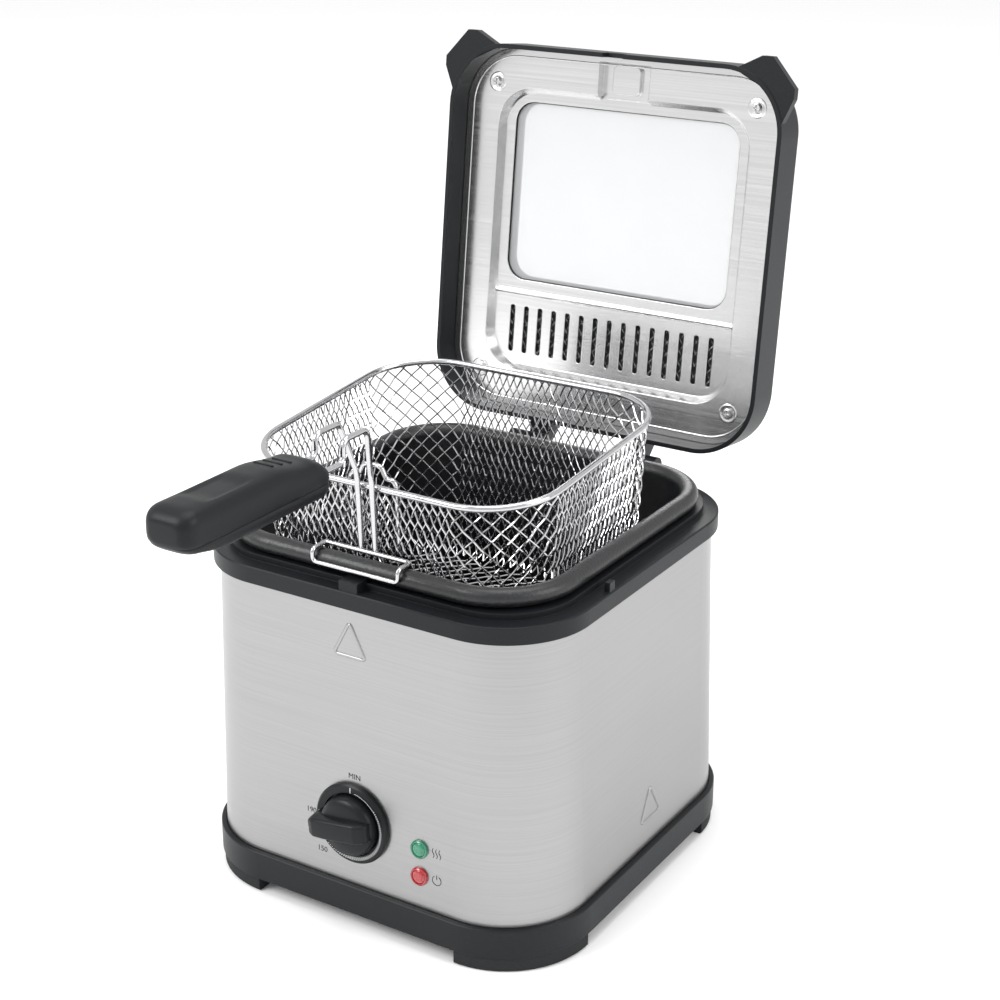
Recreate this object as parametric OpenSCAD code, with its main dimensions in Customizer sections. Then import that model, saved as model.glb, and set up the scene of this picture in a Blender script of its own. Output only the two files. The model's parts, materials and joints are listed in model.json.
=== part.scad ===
// Compact deep fryer with a lift-out wire basket, in millimetres.
// Z is up, the control knob faces -Y and the origin is under the body's centre on the table.
// The rest pose has the lid open on its stop and the basket raised to drain.

/* [Body] */
// Width of the steel body at its top edge
body_w = 210; // [170:1:260]
// Depth of the steel body at its top edge
body_d = 214; // [174:1:262]
// Height of the steel body's top edge above the table
body_h = 179; // [148:1:220]
// Radius of the body's upright corners
body_r = 43; // [36:1:52]
// How far each side of the body leans out from top to bottom
body_draft = 4.4; // [1:0.1:6]
// Thickness of the body sheet
sheet_t = 0.8; // [0.6:0.1:1]

/* [Base] */
// Height of the feet
foot_h = 8.5; // [6:0.5:12]
// Width of each foot across its curve
foot_w = 13; // [10:0.5:16]
// Height of the plastic base band
base_h = 16; // [13:0.5:22]
// How far the base stands proud of the steel
base_proud = 3.1; // [2.6:0.1:4.5]
// Wall thickness of the plastic parts
plastic_t = 2.2; // [1.8:0.1:2.6]
// Height of the space for the heater and controls under the pot, above the table
machine_h = 80; // [76:1:92]

/* [Rim] */
// How far the rim stands proud of the steel
rim_proud = 3.5; // [3:0.1:4.5]
// Height of the rim's outer band
rim_h = 9; // [7:0.5:11]
// Width of the flat ledge that the lid closes on
ledge_w = 8.3; // [8:0.1:10]
// Height of the collar that carries the pot above the ledge
collar_h = 3.4; // [2:0.1:4]
// Width of the catch block at the front
catch_w = 11; // [8:1:20]
// Height of the catch block and the side locating ribs
catch_h = 5; // [3:0.5:6]
// Distance of each side rib in front of the middle
side_rib_y = 40; // [20:1:50]

/* [Pot] */
// Radius of the pot's rolled edge
roll_r = 5; // [4:0.25:5.5]
// Wall thickness of the pot
pot_t = 1.5; // [1:0.1:2]
// Inner radius between the pot's wall and floor
pot_floor_r = 14; // [8:1:20]
// Inner radius of the pot's upright corners
pot_corner_r = 33; // [26:1:40]

/* [Basket] */
// Gap between the basket's rim and the pot on each side
basket_gap = 2.4; // [1.5:0.1:6]
// Spare depth in the pot that lets the basket clear the pot's edge
basket_play = 25.5; // [20:0.5:32]
// Outer corner radius of the basket's rim
basket_r = 38; // [30:1:42]
// Diameter of the basket's rim wire
rim_wire_d = 3.4; // [2.5:0.1:4]
// Thickness of the woven wire cloth
cloth_t = 1.2; // [1:0.1:1.6]
// How far the basket's walls lean in from rim to floor
basket_lean = 6.4; // [4:0.2:8]
// Slope of the basket's rim, low at the handle
rim_slope = 4.8; // [0:0.1:6]
// Height of the raised basket's rim above the pot's edge
basket_raise = 41.4; // [38:0.2:46]
// How far the basket goes down into the oil
basket_drop = 54; // [50:1:60]
// Gap under the lowered basket
floor_gap = 2; // [2:0.5:6]

/* [Wires] */
// Diameter of the handle's wires
handle_wire_d = 3; // [2.4:0.1:3.4]
// Diameter of the bracket wire
bracket_wire_d = 2.5; // [2:0.1:2.8]
// Diameter of the drain hook's wire
hook_wire_d = 2.4; // [1.8:0.1:2.4]
// Width of the drain hook
hook_w = 51; // [40:1:70]
// Distance between the handle's two wires at the basket
prong_gap = 8.4; // [8:0.2:10]
// Distance between the handle's two wires at the grip
wire_spread = 16; // [12:0.5:18]

/* [Handle] */
// Length of the grip
grip_l = 103; // [85:1:120]
// Width of the grip
grip_w = 28; // [25:1:34]
// Height of the grip
grip_h = 25; // [24:1:32]
// Height of the grip's middle above the raised basket's rim at the front
grip_up = 24.5; // [22:0.5:32]
// Distance from the basket's front to the grip
grip_out = 44; // [38:1:52]

/* [Lid] */
// How far the lid stays inside the rim's outer face
lid_inset = 4.5; // [4.2:0.1:5.5]
// Air space in the lid above the window glass
lid_air = 1.5; // [1:0.5:6]
// Thickness of the lid's side wall
lid_wall_t = 2.5; // [2:0.1:2.6]
// Rise of the lid's top above its side wall
lid_crown = 8; // [7:0.5:12]
// Width of the border between the lid plate's edge and its recess
border_w = 21.5; // [18:0.5:26]
// Depth of the recess in the lid plate
recess_deep = 5.5; // [3:0.5:7]
// Inner corner radius of the lid plate's recess
recess_r = 22; // [16:1:28]
// Angle that the lid opens through
open_angle = 96.8; // [90:0.2:105]
// Distance from the rim's back face to the hinge line
hinge_back = 8.5; // [7.5:0.5:10]
// Radius of the hinge knuckles
knuckle_r = 6; // [5:0.25:6.5]
// Diameter of the hinge pins
pin_d = 4; // [3:0.25:5]
// Distance from the middle to the outer face of each rim lug
hinge_half = 48; // [40:1:60]

/* [Window and vents] */
// Border between the recess and the window at the sides
window_side = 8.5; // [6:0.5:14]
// Border between the recess and the window at the front
window_front = 8; // [6:0.5:14]
// Length of the vent zone behind the window
vent_zone = 53; // [48:1:60]
// Corner radius of the window
window_r = 12; // [8:1:18]
// Thickness of the window glass
glass_t = 3; // [2.5:0.1:3.2]
// Width of each steam slot
slot_w = 3.2; // [2.4:0.2:4]
// Length of each steam slot
slot_l = 28; // [20:1:30]
// Distance from one steam slot to the next
slot_pitch = 9.3; // [8:0.1:12]

/* [Controls] */
// Height of the knob's middle above the table
knob_z = 60.5; // [56:0.5:64]
// Diameter of the dial bezel
bezel_d = 44; // [38:1:48]
// Diameter of the knob
knob_d = 33; // [28:1:35]
// How far the knob stands off the steel
knob_h = 15; // [12:0.5:18]
// Diameter of the control shaft
shaft_d = 6; // [5:0.25:7]
// Distance of the lamps from the middle
lamp_x = 40.5; // [34:0.5:44]
// Height of the upper lamp above the table
lamp_z = 58; // [52:0.5:60]
// Distance between the two lamps
lamp_pitch = 15.4; // [13:0.2:18]
// Diameter of each lamp ring
lamp_d = 10; // [8:0.5:12]

/* [Fits] */
// Clearance between parts that are assembled together
fit_gap = 0.2; // [0.1:0.05:0.3]
// Radial clearance of a pin or shaft that turns in a bore
run_gap = 0.08; // [0.04:0.01:0.1]
// Clearance between parts that move past each other
move_gap = 0.8; // [0.5:0.1:1.2]

/* [Hidden] */
$fn = 64;
eps = 0.01;
base_top = foot_h + base_h;
lean_angle = atan(body_draft / (body_h - base_top));
corner_x = body_w / 2 - body_r;
corner_y = body_d / 2 - body_r;
// corner radius of the steel's outside at a height
function steel_r(z) = body_r + body_draft * (body_h - z) / (body_h - base_top);
function front_y(z) = -(corner_y + steel_r(z));
shell_bottom = base_top - 9;
rim_top = body_h + rim_h;
rim_r = body_r + rim_proud;
rim_back = corner_y + rim_r;
shell_top = rim_top - 4;
collar_top = rim_top + collar_h;
// the pot's rolled edge sits on the collar
roll_z = collar_top + roll_r + fit_gap / 2;
roll_top = roll_z + roll_r;
pot_x = body_w / 2 + rim_proud - ledge_w - roll_r - 1.3;
pot_y = body_d / 2 + rim_proud - ledge_w - roll_r - 0.2;
// the pot's corners follow the body's when the body is rounder
pot_r = max(pot_corner_r, body_r - 10);
roll_path_r = pot_r + roll_r;
pot_in_x = pot_x - roll_r;
pot_in_y = pot_y - roll_r;
pot_floor = machine_h + pot_t;
// basket
bask_x = pot_in_x - basket_gap - rim_wire_d / 2;
bask_y = pot_in_y - basket_play / 2 - rim_wire_d / 2;
bask_mid = -(pot_in_y - move_gap - rim_wire_d / 2 - bask_y * cos(rim_slope));
bask_cx = bask_x - basket_r;
bask_cy = bask_y - basket_r;
bask_rim_z = roll_top + basket_raise;
bask_floor = pot_floor + floor_gap + basket_drop;
bask_front = bask_mid - bask_y * cos(rim_slope);
bask_front_z = bask_rim_z - bask_y * sin(rim_slope);
bask_high = bask_rim_z + bask_y * sin(rim_slope) + 1;
function bask_rad(z) = basket_r - basket_lean * (bask_rim_z - z) / (bask_rim_z - bask_floor);
// lid, laid out closed
lid_x = corner_x + rim_r - lid_inset;
lid_y = corner_y + rim_r - lid_inset;
lid_r = rim_r - lid_inset - 6;
lid_low = rim_top + fit_gap;
// height of a lid screw's head below the plate
screw_head = 1.8;
plate_low = roll_top + screw_head + fit_gap;
plate_t = 0.8;
plate_x = lid_x - lid_wall_t - fit_gap;
plate_y = lid_y - lid_wall_t - fit_gap;
plate_r = lid_r - lid_wall_t - fit_gap;
recess_x = plate_x - border_w;
recess_y = plate_y - border_w;
recess_z = plate_low + recess_deep;
hinge_y = rim_back + hinge_back;
hinge_z = rim_top + 1.5;
window_x = recess_x - window_side;
window_y0 = -recess_y + window_front;
window_y1 = recess_y - vent_zone;
window_cy = (window_y0 + window_y1) / 2;
window_hy = (window_y1 - window_y0) / 2;
slot_count = floor((2 * recess_x - 28) / slot_pitch) + 1;
slot_cy = recess_y - vent_zone / 2 + 3;
seal_t = 0.8;
glass_low = recess_z + plate_t + seal_t;
skin_t = 2.4;
lid_top = glass_low + glass_t + 2 * fit_gap + lid_air + skin_t;
wall_top = lid_top - lid_crown;
screw_in = 19.5;
screw_x = plate_x - screw_in;
screw_y = plate_y - screw_in;
channel_x = 16.5;
// hook over the pot's edge
hook_y = -(pot_y + roll_r + hook_wire_d / 2 + fit_gap);
hook_top = roll_top + hook_wire_d / 2 + 2 * fit_gap;
// controls
tie_r = body_r - 9;

// a rounded rectangle with half sizes hx and hy
module round_rect(hx, hy, r) {
  square([2 * hx, 2 * (hy - r)], center = true);
  square([2 * (hx - r), 2 * hy], center = true);
  for (sx = [-1, 1]) for (sy = [-1, 1]) translate([sx * (hx - r), sy * (hy - r)]) circle(r);
}

// a flat plate in the shape of a rounded rectangle
module plate(hx, hy, r, z, t) {
  translate([0, 0, z]) linear_extrude(t) round_rect(hx, hy, r);
}

// carries a profile round a rounded rectangle: profile x is outward from the path, y is up
module sweep(hx, hy, r) {
  for (k = [0, 1]) rotate([0, 0, 180 * k]) {
    translate([hx, hy - r, 0]) rotate([90, 0, 0]) linear_extrude(2 * (hy - r)) children();
    translate([-(hx - r), hy, 0]) rotate([90, 0, 90]) linear_extrude(2 * (hx - r)) children();
    translate([hx - r, hy - r, 0]) rotate_extrude(angle = 90) translate([r, 0]) children();
    translate([-(hx - r), hy - r, 0]) rotate([0, 0, 90]) rotate_extrude(angle = 90)
      translate([r, 0]) children();
  }
}

// a solid with leaning walls whose corner radius goes from r0 at z0 to r1 at z1
module leaning_block(cx, cy, r0, r1, z0, z1) {
  for (sx = [-1, 1]) for (sy = [-1, 1]) translate([sx * cx, sy * cy, z0])
    cylinder(h = z1 - z0, r1 = r0, r2 = r1);
  translate([0, cy, 0]) rotate([90, 0, 0]) linear_extrude(2 * cy)
    polygon([[-cx - r0, z0], [cx + r0, z0], [cx + r1, z1], [-cx - r1, z1]]);
  translate([-cx, 0, 0]) rotate([90, 0, 90]) linear_extrude(2 * cx)
    polygon([[-cy - r0, z0], [cy + r0, z0], [cy + r1, z1], [-cy - r1, z1]]);
}

// puts its children on the steel's leaning front, with Z pointing out of it
module on_front(x, z) {
  translate([x, front_y(z), z]) rotate([90 - lean_angle, 0, 0]) children();
}

module corners(x, y) {
  for (sx = [-1, 1]) for (sy = [-1, 1]) translate([sx * x, sy * y, 0]) children();
}

// a straight rod from p to q
module rod(p, q, d) {
  v = q - p;
  translate(p) rotate([0, acos(v[2] / norm(v)), atan2(v[1], v[0])]) cylinder(h = norm(v), d = d);
}

// a bent wire through a list of points
module wire(pts, d) {
  for (i = [0 : len(pts) - 2]) rod(pts[i], pts[i + 1], d);
  for (i = [1 : len(pts) - 2]) translate(pts[i]) sphere(d = 1.05 * d);
}

// turns half of a symmetric wire into the whole list of points
function both_sides(pts) = concat(pts, [for (i = [len(pts) - 1 : -1 : 0])
  [-pts[i][0], pts[i][1], pts[i][2]]]);

// swings the closed lid to its open rest place
module opened() {
  translate([0, hinge_y, hinge_z]) rotate([-open_angle, 0, 0]) translate([0, -hinge_y, -hinge_z])
    children();
}

// a pan-head screw pointing down from the origin
module screw(d, l) {
  translate([0, 0, -l]) cylinder(h = l + eps, d = d);
  difference() {
    cylinder(h = 0.62 * d, d1 = 2 * d, d2 = 1.5 * d);
    for (a = [0, 90]) rotate([0, 0, a]) translate([0, 0, 0.62 * d])
      cube([1.1 * d, 0.22 * d, 0.7 * d], center = true);
  }
}

shaft_hole_d = 10;
lamp_body_d = lamp_d - 2;

module outer_shell() {
  z0 = shell_bottom;
  z1 = shell_top;
  color("silver") difference() {
    leaning_block(corner_x, corner_y, steel_r(z0), steel_r(z1), z0, z1);
    leaning_block(corner_x, corner_y, steel_r(z0 - 1) - sheet_t, steel_r(z1 + 1) - sheet_t, z0 - 1, z1 + 1);
    on_front(0, knob_z) cylinder(h = 8, d = shaft_hole_d, center = true);
    for (k = [0, 1]) on_front(lamp_x, lamp_z - k * lamp_pitch)
      cylinder(h = 8, d = lamp_body_d + 2 * fit_gap, center = true);
    gland_hole();
  }
}

base_r = steel_r(base_top) + base_proud;
groove_in = base_proud + sheet_t + 3 * fit_gap;
flange_w = 14.3;
gland_z = foot_h + base_h / 2 + 1.5;
gland_x = -45;
gland_d = 9;

module base() {
  color("#22262a") difference() {
    sweep(corner_x + base_r, corner_y + base_r, base_r) polygon([
      [0, foot_h], [0, base_top - 0.6], [-0.6, base_top],
      [-(base_proud - 1.5 * fit_gap - 0.1), base_top],
      [-(base_proud - 1.5 * fit_gap - 0.1), shell_bottom - 0.5],
      [-groove_in, shell_bottom - 0.5], [-groove_in, base_top + 3],
      [-(groove_in + plastic_t), base_top + 3], [-(groove_in + plastic_t), foot_h + 3],
      [-flange_w, foot_h + 3], [-flange_w, foot_h]]);
    gland_hole();
    base_screw_spots() translate([0, 0, -2.4]) cylinder(h = 10, d = 3);
  }
}

module gland_hole() {
  translate([gland_x, corner_y + base_r, gland_z]) rotate([90, 0, 0])
    cylinder(h = 40, d = gland_d + 2 * fit_gap, center = true);
}

module base_screw_spots() {
  corners(corner_x + base_r - 10.5, corner_y - 20) translate([0, 0, foot_h + 3]) children();
}

module feet() {
  color("#15181a") difference() {
    for (k = [0, 1]) rotate([0, 0, 180 * k]) {
      translate([corner_x, corner_y, 0]) rotate_extrude(angle = 90) foot_profile();
      translate([-corner_x, corner_y, 0]) rotate([0, 0, 90]) rotate_extrude(angle = 90) foot_profile();
    }
  }
}

module foot_profile() {
  r = base_r - 1;
  polygon([[r - foot_w, 0], [r - 1, 0], [r, 1], [r, foot_h], [r - foot_w, foot_h]]);
}

bottom_plate_t = 1;

module bottom_plate() {
  inner = base_r - groove_in - plastic_t - fit_gap;
  color("#8d9194") difference() {
    plate(corner_x + inner, corner_y + inner, inner, foot_h + 3, bottom_plate_t);
    for (i = [-5 : 5]) for (s = [-1, 1]) translate([i * 9, s * 30, foot_h]) linear_extrude(10)
      round_rect(1.8, 15, 1.7);
    base_screw_spots() cylinder(h = 10, d = 3.6, center = true);
    tie_spots() translate([0, 0, foot_h]) cylinder(h = 10, d = tie_d + 2 * fit_gap);
  }
}

// thread-forming screws that hold the bottom plate down on the base's flange
module base_screws() {
  color("silver") base_screw_spots() translate([0, 0, bottom_plate_t]) screw(2.9, 3);
}

module cable_gland() {
  y = corner_y + base_r;
  color("#1b1e21") translate([gland_x, y, gland_z]) rotate([-90, 0, 0]) difference() {
    union() {
      translate([0, 0, -12]) cylinder(h = 13, d = gland_d);
      translate([0, 0, fit_gap]) cylinder(h = 2, d = gland_d + 5);
      translate([0, 0, 2]) cylinder(h = 10, d1 = gland_d + 2, d2 = gland_d - 1);
    }
    translate([0, 0, -20]) cylinder(h = 40, d = 6.4);
  }
}

module top_rim() {
  hx = corner_x + rim_r;
  hy = corner_y + rim_r;
  in_x = min(hx - pot_in_x, hy - pot_in_y) - pot_t - 0.6;
  z = rim_top;
  color("#22262a") difference() {
    union() {
      sweep(hx, hy, rim_r) polygon([
        [0, body_h], [0, z - 0.6], [-0.6, z], [-ledge_w, z], [-ledge_w, collar_top],
        [-in_x, collar_top], [-in_x, z - 1.4], [-9, z - 1.4], [-7, z - 3.4], [-7, z - 18],
        [-7 + plastic_t, z - 18], [-7 + plastic_t, shell_top + 0.4],
        [-rim_proud + 2 * fit_gap, shell_top + 0.4], [-rim_proud + 2 * fit_gap, body_h]]);
      translate([-catch_w / 2, -hy + 1, z - 1]) cube([catch_w, ledge_w + 1, catch_h + 1]);
      for (s = [-1, 1]) translate([s * (hx - 0.7 - side_rib_w / 2), -side_rib_y, z - 1 + (catch_h + 1) / 2])
        cube([side_rib_w, 5, catch_h + 1], center = true);
      for (s = [-1, 1]) translate([s * (hinge_half - lug_w / 2), 0, 0]) rim_lug();
      tie_spots() translate([0, 0, z - 18]) cylinder(h = 17.5, d = 9);
    }
    translate([0, hinge_y, hinge_z]) rotate([0, 90, 0])
      cylinder(h = 4 * hinge_half, d = pin_d + 2 * fit_gap, center = true);
    tie_spots() translate([0, 0, z - 19]) cylinder(h = 15, d = tie_d + 2 * fit_gap);
  }
}

// the side ribs stand just outside the closed lid
side_rib_w = lid_inset - move_gap - 0.7;
lug_w = 10;
tie_d = 4;

module rim_lug() {
  color("#22262a") {
    translate([0, hinge_y, hinge_z]) rotate([0, 90, 0]) cylinder(h = lug_w, r = knuckle_r, center = true);
    translate([-lug_w / 2, rim_back - 1, body_h]) cube([lug_w, hinge_back + 1, rim_h]);
    translate([-lug_w / 2, hinge_y - 1, body_h]) cube([lug_w, knuckle_r + 1, hinge_z - body_h]);
  }
}

module tie_spots() {
  d = tie_r * sin(45);
  corners(corner_x + d, corner_y + d) children();
}

module inner_pot() {
  wall_x = pot_in_x + pot_t;
  wall_y = pot_in_y + pot_t;
  color("#26282a") {
    sweep(pot_x, pot_y, roll_path_r) translate([0, roll_z]) difference() {
      circle(roll_r);
      circle(roll_r - pot_t);
      rotate([0, 0, -75]) translate([0, -2.5]) square([roll_r + 1, 5]);
    }
    sweep(pot_in_x, pot_in_y, pot_r) polygon(concat(
      [[pot_t, roll_z], [0, roll_z], [0, pot_floor + pot_floor_r]],
      [for (a = [0 : 10 : 90])
        [-pot_floor_r + pot_floor_r * cos(a), pot_floor + pot_floor_r - pot_floor_r * sin(a)]],
      [for (a = [90 : -10 : 0]) [-pot_floor_r + (pot_floor_r + pot_t) * cos(a),
        pot_floor + pot_floor_r - (pot_floor_r + pot_t) * sin(a)]]));
    plate(pot_in_x - pot_floor_r + eps, pot_in_y - pot_floor_r + eps, pot_r - pot_floor_r + eps,
      machine_h, pot_t);
    translate([0, 0, machine_h - stud_l]) cylinder(h = stud_l + eps, d = stud_d);
  }
}

stud_l = 16;
stud_d = 5;
heater_d = 7;
// distance from the pot's nearer side to the middle of the heater's tube
heater_edge = 30.9;
heater_r = min(pot_in_x, pot_in_y) - heater_edge;
heater_z = machine_h - heater_d / 2 - 0.1;
clamp_z = machine_h - heater_d - 0.2;

module heating_element() {
  color("#6d6a66") {
    translate([0, 0, heater_z]) rotate([0, 0, 285]) rotate_extrude(angle = 330)
      translate([heater_r, 0]) circle(d = heater_d);
    for (a = [285, 255]) rotate([0, 0, a]) translate([heater_r, 0, heater_z]) {
      translate([0, 0, heater_d / 2 - 0.2]) rotate([0, 180, 0]) cylinder(h = 20, d = heater_d + 1);
      rotate([0, 180, 0]) cylinder(h = 33, d = 2.5);
    }
  }
}

module heater_clamp() {
  color("#a9adb0") difference() {
    translate([0, 0, clamp_z - 1]) cylinder(h = 1, r = heater_r + 8);
    translate([0, 0, clamp_z - 5]) cylinder(h = 10, d = stud_d + 2 * fit_gap);
    for (a = [285, 255]) rotate([0, 0, a]) translate([heater_r, 0, clamp_z])
      cylinder(h = 10, d = heater_d + 2, center = true);
    translate([fuse_x, 0, clamp_z]) cube([12, 24, 10], center = true);
    translate([bulb_x, -heater_r + 14, clamp_z]) cylinder(h = 10, d = 9, center = true);
  }
}

shield_z = clamp_z - 24;

module heat_shield() {
  color("#b9bdc0") difference() {
    union() {
      translate([0, 0, shield_z]) cylinder(h = 0.8, r = heater_r + 14);
      translate([0, 0, shield_z]) difference() {
        cylinder(h = 12, r = heater_r + 14);
        cylinder(h = 30, r = heater_r + 13.2, center = true);
      }
      translate([0, 0, shield_z]) cylinder(h = machine_h - stud_l - shield_z + 3, d = stud_d + 6);
    }
    translate([0, 0, shield_z - 1]) cylinder(h = 40, d = stud_d + 2 * fit_gap);
    for (a = [285, 255]) rotate([0, 0, a]) translate([heater_r, 0, shield_z])
      cylinder(h = 30, d = 12, center = true);
  }
}

// the nut that pulls the clamp plate up on the pot's stud
module heater_nut() {
  color("silver") translate([0, 0, clamp_z - 5.2]) difference() {
    cylinder(h = 4, d = 9, $fn = 6);
    translate([0, 0, -1]) cylinder(h = 6, d = stud_d);
  }
}

thermo_w = 34;
thermo_h = 22;
thermo_d = 20;

module thermostat() {
  color("#d8d2c4") on_front(0, knob_z) difference() {
    union() {
      translate([-thermo_w / 2, -thermo_h / 2, -sheet_t - fit_gap - thermo_d])
        cube([thermo_w, thermo_h, thermo_d]);
      for (s = [-1, 1]) translate([s * 14, 0, -sheet_t - fit_gap - thermo_d - 5])
        cube([4, 8, 10 + eps], center = true);
      translate([0, 0, -sheet_t - fit_gap - eps]) cylinder(h = 1.9, d = shaft_hole_d - 1);
    }
    translate([0, 0, -14]) cylinder(h = 30, d = shaft_d + 2 * run_gap);
  }
}

// the capillary and its sensing bulb against the pot's floor
module thermostat_bulb() {
  y0 = front_y(knob_z) + 24;
  color("#b87333") {
    wire([[-6, y0, knob_z + 4], [-6, y0 + 6, knob_z + 4], [bulb_x, -heater_r + 13, clamp_z - 3],
      [bulb_x, -heater_r + 15, machine_h - 3], [bulb_x, -heater_r + 24, machine_h - 3]], 1.6);
    translate([bulb_x, -heater_r + 24, machine_h - 2.7]) rotate([-90, 0, 0])
      cylinder(h = heater_r - 3, d = 4.6);
  }
}

fuse_x = 26;
bulb_x = -heater_r / 2;

module thermal_fuse() {
  color("#cfc8b8") translate([fuse_x, 0, machine_h - 2.6]) {
    rotate([90, 0, 0]) cylinder(h = 14, d = 4.6, center = true);
    rotate([90, 0, 0]) cylinder(h = 22, d = 1.2, center = true);
  }
}

module terminal_block() {
  color("#e6e1d3") translate([-45, corner_y + body_r - 26, foot_h + 4 + bottom_plate_t - 1]) difference() {
    translate([-16, -8, 0]) cube([32, 16, 14]);
    for (i = [-1 : 1]) translate([i * 10, 0, 4]) cylinder(h = 20, d = 5);
    for (i = [-1 : 1]) translate([i * 10, 0, 6]) rotate([90, 0, 0]) cylinder(h = 30, d = 3, center = true);
  }
}

// insulated leads between the inlet, the thermostat, the lamps and the heater
module wiring() {
  ty = corner_y + body_r - 36;
  fy = front_y(knob_z) + 34;
  zl = foot_h + 12;
  $fn = 12;
  color("#a33a2a") {
    wire([[-35, ty, foot_h + 10], [-35, ty - 6, zl], [-14, fy, zl], [-14, fy, knob_z - 12]], 2.4);
    wire([[-55, ty, foot_h + 10], [-55, ty - 6, zl], [-70, -30, zl],
      [-15, -heater_r - 2, shield_z - 5]], 2.4);
    wire([[8, fy, knob_z - 12], [8, fy, zl + 14], [15, -heater_r - 2, shield_z - 5]], 2.4);
    wire([[lamp_x, front_y(lamp_z) + 26, lamp_z - 4], [lamp_x, front_y(lamp_z) + 34, zl + 20],
      [25, -heater_r - 9, zl + 20]], 1.8);
  }
}

tie_top = rim_top - 5;

module tie_rods() {
  color("silver") tie_spots() translate([0, 0, foot_h + 1]) cylinder(h = tie_top - foot_h - 1, d = tie_d);
}

module tie_nuts() {
  color("silver") tie_spots() translate([0, 0, foot_h + 3 + bottom_plate_t + 0.1]) difference() {
    cylinder(h = 3.2, d = 8, $fn = 6);
    translate([0, 0, -1]) cylinder(h = 6, d = tie_d);
  }
}

bezel_h = 3;
bezel_lip = 3;

module dial_bezel() {
  color("#1b1e21") on_front(0, knob_z) difference() {
    union() {
      translate([0, 0, fit_gap / 2]) cylinder(h = bezel_h - 1, d = bezel_d);
      translate([0, 0, bezel_h - 1 + fit_gap / 2 - eps]) cylinder(h = 1, d1 = bezel_d, d2 = bezel_d - 2);
    }
    translate([0, 0, 1]) cylinder(h = 10, d = knob_d + 2 * move_gap);
    cylinder(h = 20, d = shaft_hole_d, center = true);
  }
}

// angle of the knob's pointer at rest, anticlockwise from straight up
pointer_at = 98;

module control_knob() {
  base_z = 1.2 + fit_gap;
  color("#1e2124") on_front(0, knob_z) difference() {
    union() {
      translate([0, 0, base_z]) cylinder(h = 7, d1 = knob_d, d2 = knob_d - 3);
      rotate([0, 0, pointer_at]) intersection() {
        translate([-5.5, -knob_d / 2 + 1, base_z + 2]) cube([11, knob_d + 3, knob_h - base_z - 2]);
        translate([0, 0, base_z]) cylinder(h = knob_h - base_z, d1 = knob_d + 12, d2 = knob_d);
      }
    }
    translate([0, 0, base_z - 1]) cylinder(h = 8, d = shaft_d + 0.1);
  }
}

module knob_shaft() {
  color("silver") on_front(0, knob_z) {
    translate([0, 0, -12]) cylinder(h = 12 + 1.2 + fit_gap + 6.6, d = shaft_d);
  }
}

module lamp_lens(z) {
  on_front(lamp_x, z) {
    translate([0, 0, 0.5]) cylinder(h = 1.3, d = lamp_d - 2.4);
    translate([0, 0, 1.8 - eps]) cylinder(h = 0.6, d1 = lamp_d - 2.4, d2 = lamp_d - 4);
  }
}

module lamp_lens_green() {
  color("#39c24a") lamp_lens(lamp_z);
}

module lamp_lens_red() {
  color("#d8322a") lamp_lens(lamp_z - lamp_pitch);
}

module lamp_rings() {
  color("#c9cdd0") for (k = [0, 1]) on_front(lamp_x, lamp_z - k * lamp_pitch) difference() {
    translate([0, 0, fit_gap / 2]) cylinder(h = 1.6, d1 = lamp_d, d2 = lamp_d - 0.8);
    cylinder(h = 10, d = lamp_d - 2.2, center = true);
  }
}

module lamp_housings() {
  color("#e8e4da") for (k = [0, 1]) on_front(lamp_x, lamp_z - k * lamp_pitch) difference() {
    translate([0, 0, -22]) cylinder(h = 22, d = lamp_body_d);
    translate([0, 0, -20]) cylinder(h = 24, d = lamp_body_d - 2);
  }
}

knuckle_in = hinge_half - lug_w - move_gap / 2;
knuckle_w = 12;

module lid_frame() {
  color("#22262a") opened() difference() {
    union() {
      sweep(lid_x, lid_y, lid_r) polygon([
        [0, lid_low], [0, wall_top], [-1.6, wall_top + 0.55 * lid_crown], [-5, wall_top + 0.85 * lid_crown],
        [-10, lid_top], [-10, lid_top - skin_t], [-5.8, wall_top + 0.85 * lid_crown - skin_t],
        [-lid_wall_t, wall_top + 0.4 * lid_crown - skin_t + 1], [-lid_wall_t, lid_low]]);
      plate(lid_x - 10 + eps, lid_y - 10 + eps, lid_r - 10 + eps, lid_top - skin_t, skin_t);
      lid_ears();
      for (s = [-1, 1]) translate([s * (knuckle_in - knuckle_w / 2), 0, 0]) lid_knuckle();
      corners(screw_x, screw_y) translate([0, 0, plate_low + plate_t + fit_gap])
        cylinder(h = lid_top - skin_t - plate_low - plate_t - fit_gap + eps, d = 9);
      window_wall();
    }
    translate([0, window_cy, lid_top - 10]) linear_extrude(20)
      round_rect(window_x - 1, window_hy - 1, window_r);
    for (i = [-6 : 6]) translate([i * (2 * recess_x - 30) / 13, slot_cy, lid_top - 8])
      linear_extrude(20) round_rect(1.8, vent_zone / 2 - 16, 1.7);
    corners(screw_x, screw_y) translate([0, 0, plate_low]) cylinder(h = 9, d = 3);
    translate([0, hinge_y, hinge_z]) rotate([0, 90, 0])
      cylinder(h = 4 * hinge_half, d = pin_d + 2 * run_gap, center = true);
    translate([-catch_w / 2 - move_gap, -lid_y - 8, lid_low - 1])
      cube([catch_w + 2 * move_gap, 14, catch_h + 1 + move_gap]);
  }
}

// a collar inside the top that holds the glass and the filter
module window_wall() {
  z0 = glass_low + glass_t + 2 * fit_gap;
  translate([0, window_cy, 0]) sweep(window_x + 3, window_hy + 3, window_r + 3)
    polygon([[0, z0], [2, z0], [2, lid_top - skin_t + eps], [0, lid_top - skin_t + eps]]);
}

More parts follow.
